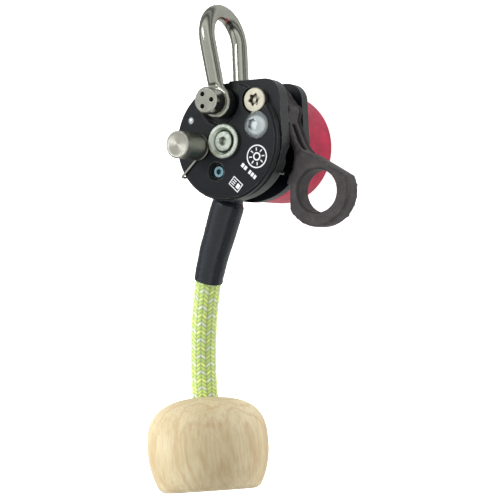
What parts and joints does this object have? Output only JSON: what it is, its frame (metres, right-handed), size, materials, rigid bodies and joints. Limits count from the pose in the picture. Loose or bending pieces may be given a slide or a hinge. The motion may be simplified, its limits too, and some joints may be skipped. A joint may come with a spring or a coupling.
{
  "type": "rope adjuster",
  "caption": "Mechanical rope adjuster with side plates, shackle, guide-ring arm, pull-pin, spring housing and a rope release handle ending in a wooden knob.",
  "frame": {"origin": "centre of the flat back of the red spring housing, on the axis of the round plates; the object lies on this face", "axes": "+Z from the back to the front face, across the plates; +Y towards the shackle; +X towards the guide arm"},
  "size_m": [0.1175, 0.2431, 0.0747],
  "materials": {
    "black_anodised": "satin",
    "red_anodised": "satin",
    "cast_grey": "matte",
    "stainless_polished": "polished",
    "stainless_brushed": "brushed",
    "zinc": "satin",
    "zinc_yellow": "satin",
    "nickel": "satin",
    "zinc_blue": "satin",
    "bronze": "satin",
    "steel": "satin",
    "spring_steel": "satin",
    "braid_green": "braided",
    "shrink_black": "semi gloss",
    "wood": "satin"
  },
  "bodies": {
    "housing": {"front_plate": "black_anodised", "rear_plate": "black_anodised", "rear_cover": "red_anodised", "cover_screws": "steel", "shackle_bush": "bronze", "arm_pivot_bolt": "nickel", "stop_post": "steel", "stop_post_bolt": "zinc", "centre_bolt": "zinc_yellow", "centre_washer": "zinc_yellow", "centre_nut": "steel", "shaft_bush": "bronze", "brake_spring": "spring_steel", "spring_anchor": "steel", "lever_spring": "spring_steel", "travel_stop_screw": "zinc_blue", "spacer_rivet": "zinc", "lock_bushing": "stainless_brushed", "lock_spring": "spring_steel"},
    "shackle": {"shackle_bow": "stainless_polished", "shackle_pin": "stainless_polished"},
    "arm": {"guide_arm": "cast_grey", "arm_bush": "bronze"},
    "lever": {"brake_cam": "steel", "cam_sleeve": "bronze", "spring_hub": "steel", "rope_sleeve": "shrink_black", "handle_rope": "braid_green", "wooden_knob": "wood", "knob_washer": "steel", "stopper_knot": "braid_green"},
    "lock": {"lock_plunger": "stainless_brushed", "lock_knob": "stainless_brushed"},
    "wire": {"retaining_wire": "stainless_brushed"}
  },
  "joints": [
    {"name": "shackle_swing", "type": "hinge", "parent": "housing", "child": "shackle", "pos_m": [-0.003, 0.0185, 0.0472], "axis": [0, 0, 1], "range_deg": [-32, 32]},
    {"name": "arm_swing", "type": "hinge", "parent": "housing", "child": "arm", "pos_m": [0.016, 0.0187, 0.0395], "axis": [0, 0, 1], "range_deg": [0, 24]},
    {"name": "lever_turn", "type": "hinge", "parent": "housing", "child": "lever", "pos_m": [0, 0, 0.0395], "axis": [0, 0, 1], "range_deg": [-14, 14], "stiffness_Nm_per_rad": 0.4},
    {"name": "lock_pull", "type": "slide", "parent": "housing", "child": "lock", "axis": [0, 0, 1], "range_m": [0, 0.006], "stiffness_N_per_m": 400, "springref_m": -0.004, "deforming": ["lock_spring"]},
    {"name": "wire_swing", "type": "hinge", "parent": "lock", "child": "wire", "pos_m": [-0.0152, -0.002, 0.0577], "axis": [0, 0, 1], "range_deg": [-55, 0]}
  ]
}
